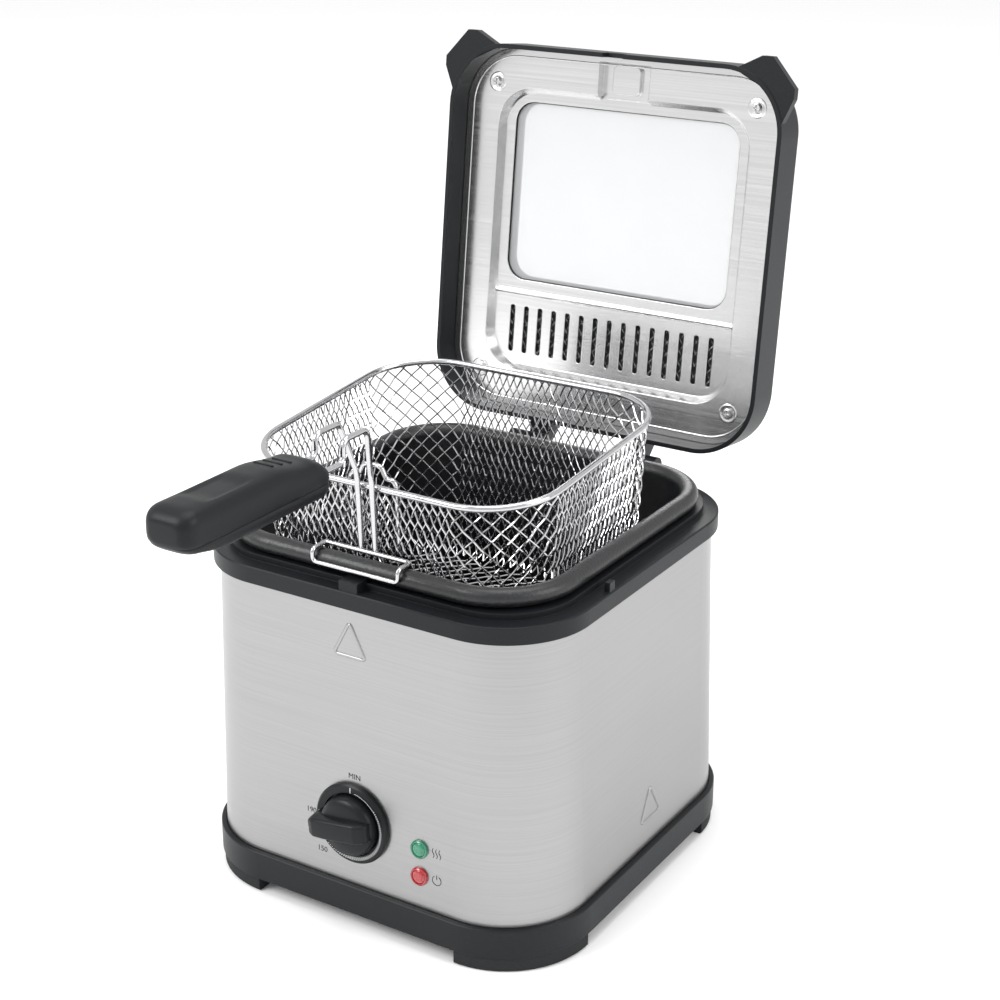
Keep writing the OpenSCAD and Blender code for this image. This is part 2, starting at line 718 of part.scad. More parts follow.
module lid_ears() {
  t = 5;
  a = lid_x - lid_r;
  b = lid_y - lid_r;
  for (s = [-1, 1]) scale([s, 1, 1]) translate([a, -b, lid_low + 0.5]) linear_extrude(t)
    polygon([[5, -lid_r + 2], [20.5, -lid_r - 6], [26.5, -lid_r - 6], [lid_r + 4.5, -26.5],
      [lid_r + 4.5, -21], [lid_r - 1, -8], [lid_r * 0.68, -lid_r * 0.68]]);
}

module lid_knuckle() {
  rotate([90, 0, 90]) translate([0, 0, -knuckle_w / 2]) linear_extrude(knuckle_w) {
    translate([hinge_y, hinge_z]) circle(knuckle_r);
    polygon([[lid_y - 1, rim_top + 4], [lid_y - 1, wall_top - 2], [lid_y + 2, wall_top - 3],
      [hinge_y + knuckle_r * 0.7, hinge_z + knuckle_r * 0.7], [hinge_y - knuckle_r * 0.8, hinge_z + 2]]);
  }
}

module lid_inner_plate() {
  slope = 3;
  color("silver") opened() difference() {
    union() {
      difference() {
        plate(plate_x, plate_y, plate_r, plate_low, plate_t);
        plate(recess_x + plate_t, recess_y + plate_t, recess_r + plate_t, plate_low - 1, plate_t + 2);
        translate([-channel_x, -plate_y + 3, plate_low - 1]) cube([2 * channel_x, border_w, plate_t + 2]);
      }
      sweep(recess_x, recess_y, recess_r) polygon([
        [plate_t + eps, plate_low], [plate_t + eps, plate_low + plate_t],
          [-slope + plate_t, recess_z + plate_t],
        [-slope, recess_z + plate_t], [-slope, recess_z], [0, plate_low]]);
      plate(recess_x - slope + eps, recess_y - slope + eps, recess_r - slope + eps, recess_z, plate_t);
      channel();
      translate([0, window_y1 + 7.5, recess_z]) rotate([0, 90, 0]) intersection() {
        cylinder(h = 2 * recess_x - 5, d = 3, center = true);
        translate([2 - plate_t, 0, 0]) cube([4, 4, 3 * recess_x], center = true);
      }
    }
    translate([-channel_x + plate_t, -recess_y - 1, plate_low - 1])
      cube([2 * channel_x - 2 * plate_t, 5, recess_deep + 1 - eps]);
    translate([0, window_cy, recess_z - 1]) linear_extrude(4) round_rect(window_x, window_hy, window_r);
    for (i = [0 : slot_count - 1]) translate([(i - (slot_count - 1) / 2)
      * slot_pitch, slot_cy, recess_z - 1])
      linear_extrude(4) round_rect(slot_w / 2, slot_l / 2, slot_w / 2 - 0.05);
    corners(screw_x, screw_y) translate([0, 0, plate_low - 1]) cylinder(h = 9, d = 3.6);
  }
}

// the deeper channel from the recess to the front edge, with its raised catch
module channel() {
  y0 = -plate_y + 3 - plate_t;
  y1 = -recess_y + 4;
  translate([-channel_x - eps, y0, recess_z]) cube([2 * channel_x + 2 * eps, y1 - y0, plate_t]);
  for (s = [-1, 1]) translate([s * channel_x - plate_t / 2, y0, plate_low]) translate([0, 0, 0])
    cube([plate_t, -recess_y - y0 + 1, recess_deep + plate_t]);
  translate([-channel_x - plate_t / 2, y0, plate_low])
    cube([2 * channel_x + plate_t, plate_t, recess_deep + plate_t]);
  translate([0, -plate_y + 12.5, recess_z - 2.5]) linear_extrude(2.5 + eps) round_rect(8.5, 8, 3);
}

module lid_window() {
  color([0.75, 0.8, 0.82, 0.35]) opened() translate([0, window_cy, 0])
    plate(window_x + 2, window_hy + 2, window_r + 2, glass_low + fit_gap / 2, glass_t);
}

module window_seal() {
  z = recess_z + plate_t;
  color("#101214") opened() translate([0, window_cy, 0])
    sweep(window_x + 1.8, window_hy + 1.8, window_r + 1.8)
    polygon([[-2.2, z], [0, z], [0, z + seal_t], [-2.2, z + seal_t]]);
}

filter_x = recess_x - 12;
filter_hy = vent_zone / 2 - 9;
filter_cy = slot_cy + 0.5;

module lid_filter() {
  z = recess_z + plate_t + fit_gap;
  color("#8b8f92") opened() translate([0, filter_cy, 0]) plate(filter_x, filter_hy, 3, z, 3);
}

module filter_cage() {
  z = recess_z + plate_t + fit_gap;
  color("#3a3e42") opened() translate([0, filter_cy, 0]) difference() {
    plate(filter_x + 1.6, filter_hy + 1.6, 4.6, z, 4.4);
    plate(filter_x + fit_gap, filter_hy + fit_gap, 3 + fit_gap, z - 1, 1 + 3 + fit_gap);
    for (i = [-4 : 4]) translate([i * (2 * filter_x - 12) / 9, 0, z]) linear_extrude(10)
      round_rect((2 * filter_x - 12) / 18 - 1, filter_hy - 2, 1);
  }
}

module lid_screws() {
  color("silver") opened() corners(screw_x, screw_y) translate([0, 0, plate_low]) rotate([180, 0, 0])
    screw(2.9, 8);
}

module hinge_pins() {
  l = hinge_half - (knuckle_in - knuckle_w) + 1;
  color("silver") for (s = [-1, 1]) translate([s * (hinge_half - l / 2 + 0.5), hinge_y, hinge_z])
    rotate([0, 90, 0]) cylinder(h = l, d = pin_d, center = true);
}

// cuts away what is above the basket's sloping rim
module below_rim(drop) {
  difference() {
    children();
    translate([0, bask_mid, bask_rim_z - drop]) rotate([rim_slope, 0, 0]) translate([0, 0, 60])
      cube([400, 400, 120], center = true);
  }
}

module basket_mesh() {
  z1 = bask_high + 2;
  color("#b9bdc0") below_rim(rim_wire_d / 2 + 0.05) translate([0, bask_mid, 0]) difference() {
    leaning_block(bask_cx, bask_cy, bask_rad(bask_floor) - 0.3, bask_rad(z1) - 0.3, bask_floor, z1);
    leaning_block(bask_cx, bask_cy, bask_rad(bask_floor + cloth_t) - 0.3 - cloth_t,
      bask_rad(z1 + 1) - 0.3 - cloth_t, bask_floor + cloth_t, z1 + 1);
  }
}

module basket_rim() {
  color("#d7dade") translate([0, bask_mid, bask_rim_z]) rotate([rim_slope, 0, 0])
    sweep(bask_x, bask_y, basket_r) circle(d = rim_wire_d);
}

// the bracket wire inside the basket's front wall that the handle hooks into
module basket_bracket() {
  d = bracket_wire_d;
  y = bask_front + rim_wire_d / 2 + d / 2 + 0.1;
  z = bask_front_z;
  lean = basket_lean / (bask_rim_z - bask_floor);
  y_low = y + lean * leg_drop + 0.1;
  arch = prong_gap / 2 + handle_wire_d / 2 + d / 2 + 0.6;
  color("#d7dade") wire([[-leg_x, y_low, z - leg_drop], [-leg_x, y, z + 2], [-leg_x + 1.5, y, z + 3.5],
    [-arch - 1, y, z + 3.5], [-arch, y, z + 4.5], [-arch + 1, y, z + 9], [-arch + 3, y, z + 10.5],
    [arch - 3, y, z + 10.5], [arch - 1, y, z + 9], [arch, y, z + 4.5], [arch + 1, y, z + 3.5],
    [leg_x - 1.5, y, z + 3.5], [leg_x, y, z + 2], [leg_x, y_low, z - leg_drop]], d);
}

leg_x = 13.5;
leg_drop = 34;

// a wire loop that hangs over the pot's front edge and carries the raised basket
module drain_hook() {
  x = hook_w / 2;
  d = hook_wire_d;
  color("#d7dade") wire(both_sides([[0.6, prong_y + 1, hook_top], [x, prong_y + 1, hook_top],
    [x, hook_y, hook_top], [x, hook_y, roll_z]]), d);
}

prong_y = bask_front - rim_wire_d / 2 - handle_wire_d / 2 - move_gap;
hump_z = bask_front_z + grip_up + 10;
grip_z = bask_front_z + grip_up;
grip_y1 = bask_front - grip_out;
grip_y0 = grip_y1 - grip_l;
riser_y = grip_y1 + 13;

module handle_wires() {
  d = handle_wire_d;
  z = bask_front_z;
  color("#d7dade") for (s = [-1, 1]) {
    g = s * wire_spread / 2;
    p = s * prong_gap / 2;
    wire([[g, grip_y1 - 40, grip_z - 1], [g, riser_y - 2.5, grip_z - 1], [g, riser_y, grip_z + 1.5],
      [g, riser_y, hump_z - 2.5], [g, riser_y + 2, hump_z], [g, bask_front - 13.6, hump_z],
      [g, bask_front - 11.5, hump_z - 2.5], [p, prong_y - 0.8, z + 9], [p, prong_y, z + 5],
      [p, prong_y + 2, hook_top - 0.2]], d);
  }
}

// the grip's side view, with its top sloping down to the wires
module grip_side() {
  h = grip_h / 2;
  polygon([[grip_y0 + 5, h - 2], [grip_y0 + 10, h], [grip_y1 - 40, h], [grip_y1 - 24, h - 1.6],
    [grip_y1 - 8, h - 8], [grip_y1 - 2, h - 13], [grip_y1, h - 19], [grip_y1 - 1.5, 2.5 - h],
    [grip_y1 - 6, -h], [grip_y0 + 38, -h], [grip_y0 + 22, 2 - h], [grip_y0 + 7, 8 - h],
    [grip_y0 + 1, 14 - h], [grip_y0, 19 - h], [grip_y0 + 1.2, h - 6]]);
}

module grip_solid() {
  r = 10;
  intersection() {
    rotate([90, 0, 90]) translate([0, grip_z, -grip_w / 2]) linear_extrude(grip_w) grip_side();
    translate([0, (grip_y0 + grip_y1) / 2, grip_z - grip_h / 2]) linear_extrude(grip_h)
      round_rect(grip_w / 2, grip_l / 2, r);
    translate([0, grip_y1, grip_z]) rotate([90, 0, 0]) linear_extrude(grip_l)
      round_rect(grip_w / 2, grip_h / 2, r);
  }
}

part_line = 4;

module wire_channels() {
  for (s = [-1, 1]) translate([s * wire_spread / 2, grip_y1 - 41, grip_z - 1]) rotate([-90, 0, 0])
    cylinder(h = 60, d = handle_wire_d + 2 * fit_gap);
}

module handle_upper() {
  color("#1e2124") difference() {
    grip_solid();
    translate([-50, grip_y0 - 10, grip_z - 50 - part_line]) cube([100, grip_l + 20, 50]);
    wire_channels();
    grip_screw_spots() cylinder(h = 12, d = 2.6);
  }
}

module handle_lower() {
  color("#1e2124") difference() {
    grip_solid();
    translate([-50, grip_y0 - 10, grip_z - part_line - fit_gap / 4]) cube([100, grip_l + 20, 50]);
    grip_screw_spots() translate([0, 0, -20]) cylinder(h = 26, d = 3.4);
    grip_screw_spots() translate([0, 0, -20]) cylinder(h = 20 - 6, d = 7);
  }
}

module grip_screw_spots() {
  for (y = [grip_y0 + 30, grip_y1 - 22]) translate([0, y, grip_z - part_line - 0.05]) children();
}

module handle_screws() {
  color("silver") grip_screw_spots() translate([0, 0, -6.1]) rotate([180, 0, 0]) screw(2.6, 14);
}

outer_shell();
base();
feet();
bottom_plate();
base_screws();
cable_gland();
top_rim();
inner_pot();
heating_element();
heater_clamp();
heat_shield();
heater_nut();
thermostat();
thermostat_bulb();
thermal_fuse();
terminal_block();
wiring();
tie_rods();
tie_nuts();
dial_bezel();
control_knob();
knob_shaft();
lamp_lens_green();
lamp_lens_red();
lamp_rings();
lamp_housings();
lid_frame();
lid_inner_plate();
lid_window();
window_seal();
lid_filter();
filter_cage();
lid_screws();
hinge_pins();
basket_mesh();
basket_rim();
basket_bracket();
drain_hook();
handle_wires();
handle_upper();
handle_lower();
handle_screws();
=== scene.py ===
import bpy, json
from math import atan, cos, hypot, pi, radians, sin, sqrt
from mathutils import Matrix, Vector


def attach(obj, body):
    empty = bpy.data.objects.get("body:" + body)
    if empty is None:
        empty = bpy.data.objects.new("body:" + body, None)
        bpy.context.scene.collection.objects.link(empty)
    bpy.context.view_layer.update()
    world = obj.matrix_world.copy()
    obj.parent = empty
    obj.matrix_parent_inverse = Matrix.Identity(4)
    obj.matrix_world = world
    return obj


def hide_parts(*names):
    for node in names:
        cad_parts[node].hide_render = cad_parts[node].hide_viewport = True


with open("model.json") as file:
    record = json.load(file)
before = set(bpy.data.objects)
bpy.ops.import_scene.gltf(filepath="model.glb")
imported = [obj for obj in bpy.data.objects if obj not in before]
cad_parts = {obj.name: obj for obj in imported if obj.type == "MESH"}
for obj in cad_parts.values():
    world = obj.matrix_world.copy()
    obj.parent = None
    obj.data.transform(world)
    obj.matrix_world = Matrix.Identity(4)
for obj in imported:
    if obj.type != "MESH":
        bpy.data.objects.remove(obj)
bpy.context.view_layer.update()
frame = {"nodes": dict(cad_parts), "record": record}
MM = 0.001

# ---- sizes in millimetres, as in the part's source ----
BODY_W, BODY_D, BODY_H, DRAFT = 210.0, 214.0, 179.0, 4.4
BASE_TOP = 24.5
LEAN = atan(DRAFT / (BODY_H - BASE_TOP))
ROLL_TOP = 201.5
ROLL_Z = 196.5
POT_Y = 97.0
BASK_CX, BASK_CY, BASK_R = 46.8, 39.55, 38.0
BASK_X, BASK_Y = BASK_CX + BASK_R, BASK_CY + BASK_R
SLOPE = radians(4.8)
BASK_MID = -(92.0 - 0.8 - 1.7 - BASK_Y * cos(SLOPE))
BASK_RIM = ROLL_TOP + 41.4
BASK_FLOOR = 81.5 + 2.0 + 54.0
BASK_LEAN = 6.4
FRONT = BASK_MID - BASK_Y * cos(SLOPE)
FRONT_Z = BASK_RIM - BASK_Y * sin(SLOPE)
HINGE_Y, HINGE_Z, OPEN = 119.0, 189.5, radians(96.8)
LID_X, LID_Y, LID_R = 104.0, 106.0, 36.0
PLATE_LOW = 203.5
PLATE_X, PLATE_Y, PLATE_R = LID_X - 2.7, LID_Y - 2.7, LID_R - 2.7
RECESS_Z = PLATE_LOW + 5.5
KNOB_Z = 60.5
LAMP_X, LAMP_Z, LAMP_PITCH = 40.5, 58.0, 15.4
GRIP_Y1 = FRONT - 44.0
GRIP_Y0 = GRIP_Y1 - 103.0
RISER_Y = GRIP_Y1 + 13.0
GRIP_Z = FRONT_Z + 24.5


def front_y(z):
    return -(BODY_D / 2 + DRAFT * (BODY_H - z) / (BODY_H - BASE_TOP))


def on_front(x, z, lift=0.0):
    """Row-frame matrix (mm) of a spot on the leaning front, with local Z out of it and local Y up it."""
    n = Vector((0, -cos(LEAN), sin(LEAN)))
    up = Vector((0, sin(LEAN), cos(LEAN)))
    p = Vector((x, front_y(z), z)) + n * lift
    return Matrix(((1, up.x, n.x, p.x), (0, up.y, n.y, p.y), (0, up.z, n.z, p.z), (0, 0, 0, 1)))


def on_right(y, z, lift=0.0):
    """The same for the right side."""
    n = Vector((cos(LEAN), 0, sin(LEAN)))
    up = Vector((-sin(LEAN), 0, cos(LEAN)))
    x = BODY_W / 2 + DRAFT * (BODY_H - z) / (BODY_H - BASE_TOP)
    p = Vector((x, y, z)) + n * lift
    return Matrix(((0, up.x, n.x, p.x), (1, up.y, n.y, p.y), (0, up.z, n.z, p.z), (0, 0, 0, 1)))


HINGE = Vector((0, HINGE_Y, HINGE_Z))
OPENED = Matrix.Translation(HINGE) @ Matrix.Rotation(-OPEN, 4, "X") @ Matrix.Translation(-HINGE)


# ---- materials ----
def material(name, color, rough, metal=0.0, grain=(900, 900, 900), spread=0.08, bump=0.15, tint=0.12,
             detail=3.0, coat=0.0, edge=0.0, alpha=1.0, blotch=0.0):
    m = bpy.data.materials.new(name)
    m.use_nodes = True
    nodes, links = m.node_tree.nodes, m.node_tree.links
    b = nodes["Principled BSDF"]
    b.inputs["Metallic"].default_value = metal
    b.inputs["Specular IOR Level"].default_value = 0.5 if metal or coat or alpha < 1 else 0.22
    b.inputs["Coat Weight"].default_value = coat
    b.inputs["Coat Roughness"].default_value = 0.12
    b.inputs["Alpha"].default_value = alpha
    tc = nodes.new("ShaderNodeTexCoord")
    mp = nodes.new("ShaderNodeMapping")
    mp.inputs["Scale"].default_value = grain
    noise = nodes.new("ShaderNodeTexNoise")
    noise.inputs["Scale"].default_value = 1.0
    noise.inputs["Detail"].default_value = detail
    links.new(tc.outputs["Object"], mp.inputs["Vector"])
    links.new(mp.outputs["Vector"], noise.inputs["Vector"])
    rr = nodes.new("ShaderNodeMapRange")
    rr.inputs["From Min"].default_value = 0.3
    rr.inputs["From Max"].default_value = 0.7
    rr.inputs["To Min"].default_value = max(0.02, rough - spread)
    rr.inputs["To Max"].default_value = min(1.0, rough + spread)
    links.new(noise.outputs["Fac"], rr.inputs["Value"])
    links.new(rr.outputs["Result"], b.inputs["Roughness"])
    ramp = nodes.new("ShaderNodeValToRGB")
    ramp.color_ramp.elements[0].position = 0.3
    ramp.color_ramp.elements[1].position = 0.7
    ramp.color_ramp.elements[0].color = (*[c * (1 - tint) for c in color], 1)
    ramp.color_ramp.elements[1].color = (*[min(1, c * (1 + tint)) for c in color], 1)
    links.new(noise.outputs["Fac"], ramp.inputs["Fac"])
    out = ramp.outputs["Color"]
    if blotch:
        big = nodes.new("ShaderNodeTexNoise")
        big.inputs["Scale"].default_value = 9.0
        big.inputs["Detail"].default_value = 2.0
        links.new(tc.outputs["Object"], big.inputs["Vector"])
        mr = nodes.new("ShaderNodeMapRange")
        mr.inputs["From Min"].default_value = 0.35
        mr.inputs["From Max"].default_value = 0.65
        mr.inputs["To Min"].default_value = 1 - blotch
        mr.inputs["To Max"].default_value = 1.0
        links.new(big.outputs["Fac"], mr.inputs["Value"])
        mix = nodes.new("ShaderNodeMix")
        mix.data_type = "RGBA"
        mix.blend_type = "MULTIPLY"
        mix.inputs["Factor"].default_value = 1.0
        links.new(out, mix.inputs[6])
        links.new(mr.outputs["Result"], mix.inputs[7])
        out = mix.outputs[2]
    links.new(out, b.inputs["Base Color"])
    bp = nodes.new("ShaderNodeBump")
    bp.inputs["Strength"].default_value = bump
    bp.inputs["Distance"].default_value = 0.0003
    links.new(noise.outputs["Fac"], bp.inputs["Height"])
    links.new(bp.outputs["Normal"], b.inputs["Normal"])
    if edge:
        be = nodes.new("ShaderNodeBevel")
        be.samples = 4
        be.inputs["Radius"].default_value = edge
        links.new(be.outputs["Normal"], bp.inputs["Normal"])
    return m


M = {}


def keep(name, *look, **more):
    M[name] = material(name, *look, **more)


keep("steel_body", (0.34, 0.34, 0.34), 0.34, 1.0, (14, 14, 2600), 0.05, 0.10, 0.05, 1.5, blotch=0.02)
keep("black_plastic", (0.007, 0.0085, 0.010), 0.42, 0, (1500, 1500, 1500), 0.05, 0.22, 0.2, 2, edge=0.0006)
keep("foot_rubber", (0.016, 0.017, 0.018), 0.7, 0, (1100, 1100, 1100), 0.06, 0.3, 0.25, 2, edge=0.0005)
keep("zinc_sheet", (0.50, 0.51, 0.52), 0.42, 1.0, (160, 160, 160), 0.12, 0.1, 0.15, 1, blotch=0.15)
keep("screw_steel", (0.62, 0.62, 0.62), 0.28, 1.0, (900, 900, 900), 0.08, 0.1, 0.1, 3, edge=0.0002)
keep("pot_coating", (0.006, 0.0065, 0.0075), 0.40, 0, (850, 850, 850), 0.1, 0.75, 0.35, 4, coat=0.1)
keep("heater_sheath", (0.26, 0.24, 0.22), 0.5, 1.0, (300, 300, 300), 0.1, 0.2, 0.25, 3, blotch=0.3)
keep("ceramic_cream", (0.72, 0.69, 0.60), 0.55, 0, (500, 500, 500), 0.08, 0.1, 0.05, 3)
keep("copper", (0.75, 0.38, 0.22), 0.3, 1.0, (500, 500, 500), 0.08, 0.1, 0.1, 3)
keep("wire_sleeve", (0.36, 0.06, 0.04), 0.5, 0, (700, 700, 700), 0.08, 0.2, 0.12, 3)
keep("dial_black", (0.005, 0.006, 0.007), 0.34, 0, (1600, 1600, 1600), 0.05, 0.15, 0.2, 2, edge=0.0004)
keep("lamp_green", (0.0, 0.17, 0.085), 0.16, 0, (500, 500, 500), 0.05, 0.05, 0.15, 2, coat=1.0)
keep("lamp_red", (0.34, 0.004, 0.008), 0.16, 0, (500, 500, 500), 0.05, 0.05, 0.15, 2, coat=1.0)
keep("lamp_chrome", (0.8, 0.8, 0.82), 0.1, 1.0, (500, 500, 500), 0.04, 0.02, 0.04, 2)
keep("lamp_white", (0.7, 0.68, 0.64), 0.5, 0, (700, 700, 700), 0.05, 0.1, 0.04, 2)
keep("lid_plastic", (0.007, 0.0085, 0.010), 0.40, 0, (1500, 1500, 1500), 0.05, 0.22, 0.2, 2, edge=0.0006)
keep("lid_steel", (0.72, 0.72, 0.72), 0.2, 1.0, (7, 1300, 1300), 0.05, 0.05, 0.03, 4, edge=0.0007,
    blotch=0.03)
keep("seal_rubber", (0.012, 0.012, 0.013), 0.6, 0, (900, 900, 900), 0.06, 0.2, 0.2, 2)
keep("filter_mesh", (0.012, 0.012, 0.013), 0.6, 0, (900, 900, 900), 0.1, 0.5, 0.3, 3)
keep("wire_chrome", (0.52, 0.52, 0.53), 0.12, 1.0, (600, 600, 600), 0.05, 0.05, 0.05, 3)
keep("grip_plastic", (0.006, 0.007, 0.008), 0.42, 0, (1700, 1700, 1700), 0.05, 0.2, 0.2, 2)
keep("window_glass", (0.62, 0.63, 0.64), 0.06, 0, (40, 40, 40), 0.02, 0.0, 0.01, 1, alpha=0.45)
keep("mark_white", (0.72, 0.73, 0.74), 0.5, 0, (900, 900, 900), 0.05, 0.05, 0.05, 2)
keep("mark_grey", (0.02, 0.021, 0.022), 0.5, 0, (900, 900, 900), 0.05, 0.05, 0.05, 2)
for node, obj in frame["nodes"].items():
    slot = next(s["material_slot"] for s in frame["record"]["subparts"] if s["node"] == node)
    obj.data.materials.clear()
    obj.data.materials.append(M[slot])


# ---- shape builders: lengths in millimetres, row frame at rest ----
def piece(name, verts, faces, mat, body, smooth=True, replaces=(), place=None):
    me = bpy.data.meshes.new(name)
    pts = [Vector(v) for v in verts]
    if place is not None:
        pts = [place @ v for v in pts]
    me.from_pydata([v * MM for v in pts], [], faces)
    me.validate()
    me.materials.append(M[mat])
    me.polygons.foreach_set("use_smooth", [smooth] * len(me.polygons))
    ob = bpy.data.objects.new(name, me)
    bpy.context.collection.objects.link(ob)
    if smooth:
        mod = ob.modifiers.new("edges", "EDGE_SPLIT")
        mod.split_angle = radians(40)
    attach(ob, body)
    if replaces:
        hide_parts(*replaces)
    return ob


def tube(paths, r, sides=12, closed=False):
    """Round wire along each path, as (verts, faces)."""
    verts, faces = [], []
    for path in paths:
        pts = [Vector(p) for p in path]
        n = len(pts)
        start = len(verts)
        side = None
        for i, p in enumerate(pts):
            a = pts[i - 1] if i or closed else pts[0]
            c = pts[(i + 1) % n] if i < n - 1 or closed else pts[-1]
            t = (c - a).normalized()
            if side is None:
                side = t.orthogonal().normalized()
                if abs(t.z) < 0.9:
                    side = t.cross(Vector((0, 0, 1))).normalized()
            side = (side - t * side.dot(t)).normalized()
            up = t.cross(side)
            for k in range(sides):
                w = 2 * pi * k / sides
                verts.append(p + side * (r * cos(w)) + up * (r * sin(w)))
        rings = n if closed else n - 1
        for i in range(rings):
            j = (i + 1) % n
            for k in range(sides):
                q = (k + 1) % sides
                faces.append((start + i * sides + k, start + i * sides + q, start + j * sides + q,
                    start + j * sides + k))
        if not closed:
            faces.append(tuple(start + k for k in reversed(range(sides))))
            faces.append(tuple(start + (n - 1) * sides + k for k in range(sides)))
    return verts, faces


def bent(pts, r, steps=8):
    """Rounds the corners of a path."""
    pts = [Vector(p) for p in pts]
    out = [pts[0]]
    for a, b, c in zip(pts, pts[1:], pts[2:]):
        u, v = (a - b), (c - b)
        k = min(r, u.length * 0.48, v.length * 0.48)
        p, q = b + u.normalized() * k, b + v.normalized() * k
        for i in range(steps + 1):
            t = i / steps
            out.append(p * (1 - t) ** 2 + b * 2 * t * (1 - t) + q * t * t)
    out.append(pts[-1])
    return out


def lathe(profile, seg=64):
    verts, faces = [], []
    for r, z in profile:
        for k in range(seg):
            w = 2 * pi * k / seg
            verts.append((r * cos(w), r * sin(w), z))
    for i in range(len(profile) - 1):
        for k in range(seg):
            q = (k + 1) % seg
            faces.append((i * seg + k, i * seg + q, (i + 1) * seg + q, (i + 1) * seg + k))
    if profile[0][0] > 0.001:
        faces.append(tuple(reversed(range(seg))))
    if profile[-1][0] > 0.001:
        faces.append(tuple((len(profile) - 1) * seg + k for k in range(seg)))
    return verts, faces


def ring_path(hx, hy, r, z, per=14):
    out = []
    for k, (sx, sy) in enumerate(((1, 1), (-1, 1), (-1, -1), (1, -1))):
        for i in range(per + 1):
            w = pi / 2 * (k + i / per)
            out.append((sx * (hx - r) + r * cos(w), sy * (hy - r) + r * sin(w), z))
    return out


def block(name, sx, sy, sz, place, mat, body, round_by=0.4, segments=3, taper=1.0):
    """A box centred on x and y, from z 0 up, with rounded edges."""
    v = []
    for z, k in ((0, 1.0), (sz, taper)):
        v += [(-sx / 2 * k, -sy / 2, z), (sx / 2 * k, -sy / 2, z), (sx / 2 * k, sy / 2, z),
            (-sx / 2 * k, sy / 2, z)]
    f = [(3, 2, 1, 0), (4, 5, 6, 7), (0, 1, 5, 4), (1, 2, 6, 5), (2, 3, 7, 6), (3, 0, 4, 7)]
    ob = piece(name, v, f, mat, body, False, (), place)
    m = ob.modifiers.new("round", "BEVEL")
    m.width = round_by * MM
    m.segments = segments
    m.limit_method = "ANGLE"
    ob.data.polygons.foreach_set("use_smooth", [True] * len(ob.data.polygons))
    return ob


def letters(name, text, size, place, mat, body, thick=0.03):
    cu = bpy.data.curves.new(name, "FONT")
    cu.body, cu.size, cu.align_x, cu.align_y, cu.extrude = text, size, "CENTER", "CENTER", thick
    tmp = bpy.data.objects.new(name + "_tmp", cu)
    bpy.context.collection.objects.link(tmp)
    me = bpy.data.meshes.new_from_object(tmp.evaluated_get(bpy.context.evaluated_depsgraph_get()))
    verts = [v.co.copy() for v in me.vertices]
    faces = [tuple(p.vertices) for p in me.polygons]
    bpy.data.objects.remove(tmp)
    return piece(name, verts, faces, mat, body, False, (), place)


# ---- woven basket ----
def wall_r(z):
    t = z - BASK_FLOOR
    r = BASK_R - BASK_LEAN * (BASK_RIM - z) / (BASK_RIM - BASK_FLOOR) - 1.0
    edge = 7.0
    if t < edge:
        r -= edge - sqrt(max(0.0, edge * edge - (edge - t) ** 2))
    return r


FLAT_X, FLAT_Y = 2 * BASK_CX, 2 * BASK_CY
ARC = pi / 2 * (BASK_R - 3)
SIDES = [FLAT_X / 2, ARC, FLAT_Y, ARC, FLAT_X, ARC, FLAT_Y, ARC, FLAT_X / 2]
PITCH_Z = 9.0
steep, mild = 2.0, 1.0
rise = sum(d * (mild if i % 2 else steep) for i, d in enumerate(SIDES))
TURNS = round(rise / PITCH_Z)
steep *= (TURNS * PITCH_Z - 4 * ARC * mild) / (rise - 4 * ARC * mild)


def wall_point(s, z, off):
    """A point on the wall at distance s along it, starting at the middle of the back."""
    r = wall_r(z) + off
    corner = ((-1, 1), (-1, -1), (1, -1), (1, 1))
    for i, d in enumerate(SIDES):
        if s <= d or i == 8:
            break
        s -= d
    cx, cy = BASK_CX, BASK_CY
    if i == 0:
        x, y = -s, cy + r
    elif i == 8:
        x, y = cx - s, cy + r
    elif i % 2:
        k = (i - 1) // 2
        w = pi / 2 + pi / 2 * k + pi / 2 * s / d
        x, y = corner[k][0] * cx + r * cos(w), corner[k][1] * cy + r * sin(w)
    elif i == 2:
        x, y = -cx - r, cy - s
    elif i == 4:
        x, y = -cx + s, -cy - r
    else:
        x, y = cx + r, -cy + s
    return Vector((x, y + BASK_MID, z))


def climb(s):
    k = 0.0
    for i, d in enumerate(SIDES):
        step = min(s, d)
        k += step * (mild if i % 2 else steep)
        s -= step
        if s <= 0:
            break
    return k


def rim_height(y):
    return BASK_RIM + (y - BASK_MID) * sin(SLOPE) / cos(SLOPE) - 0.6


total = sum(SIDES)
samples = []
s = 0.0
while s < total:
    samples.append(s)
    s += 0.62
samples.append(total)
climbs = [climb(s) for s in samples]
paths = []
for way in (1, -1):
    lo, hi = (-TURNS, 14) if way == 1 else (0, TURNS + 14)
    for n in range(lo, hi + 1):
        path = []
        for s, k in zip(samples, climbs):
            z = BASK_FLOOR + 0.5 + way * k + n * PITCH_Z
            ok = BASK_FLOOR + 0.5 <= z
            if ok:
                p = wall_point(s, z, way * 0.4 * cos(2 * pi * (z - BASK_FLOOR - 0.5) / PITCH_Z))
                ok = z <= rim_height(p.y)
            if ok:
                path.append(p)
            elif path:
                break
        if len(path) > 2:
            paths.append(path[::2] + [path[-1]] if (len(path) - 1) % 2 else path[::2])
inset = 7.0
fr = wall_r(BASK_FLOOR + inset) - inset
fx, fy = BASK_CX + fr, BASK_CY + fr


def floor_span(c, way):
    """The ends of the floor wire x + way * y = c."""
    inside = []
    for i in range(-260, 261):
        x = c / 2 + i * 0.4
        y = way * (c - x)
        dx, dy = max(0, abs(x) - (fx - fr)), max(0, abs(y) - (fy - fr))
        if hypot(dx, dy) <= fr:
            inside.append((x, y))
    return inside[::6] + inside[-1:] if len(inside) > 8 else None


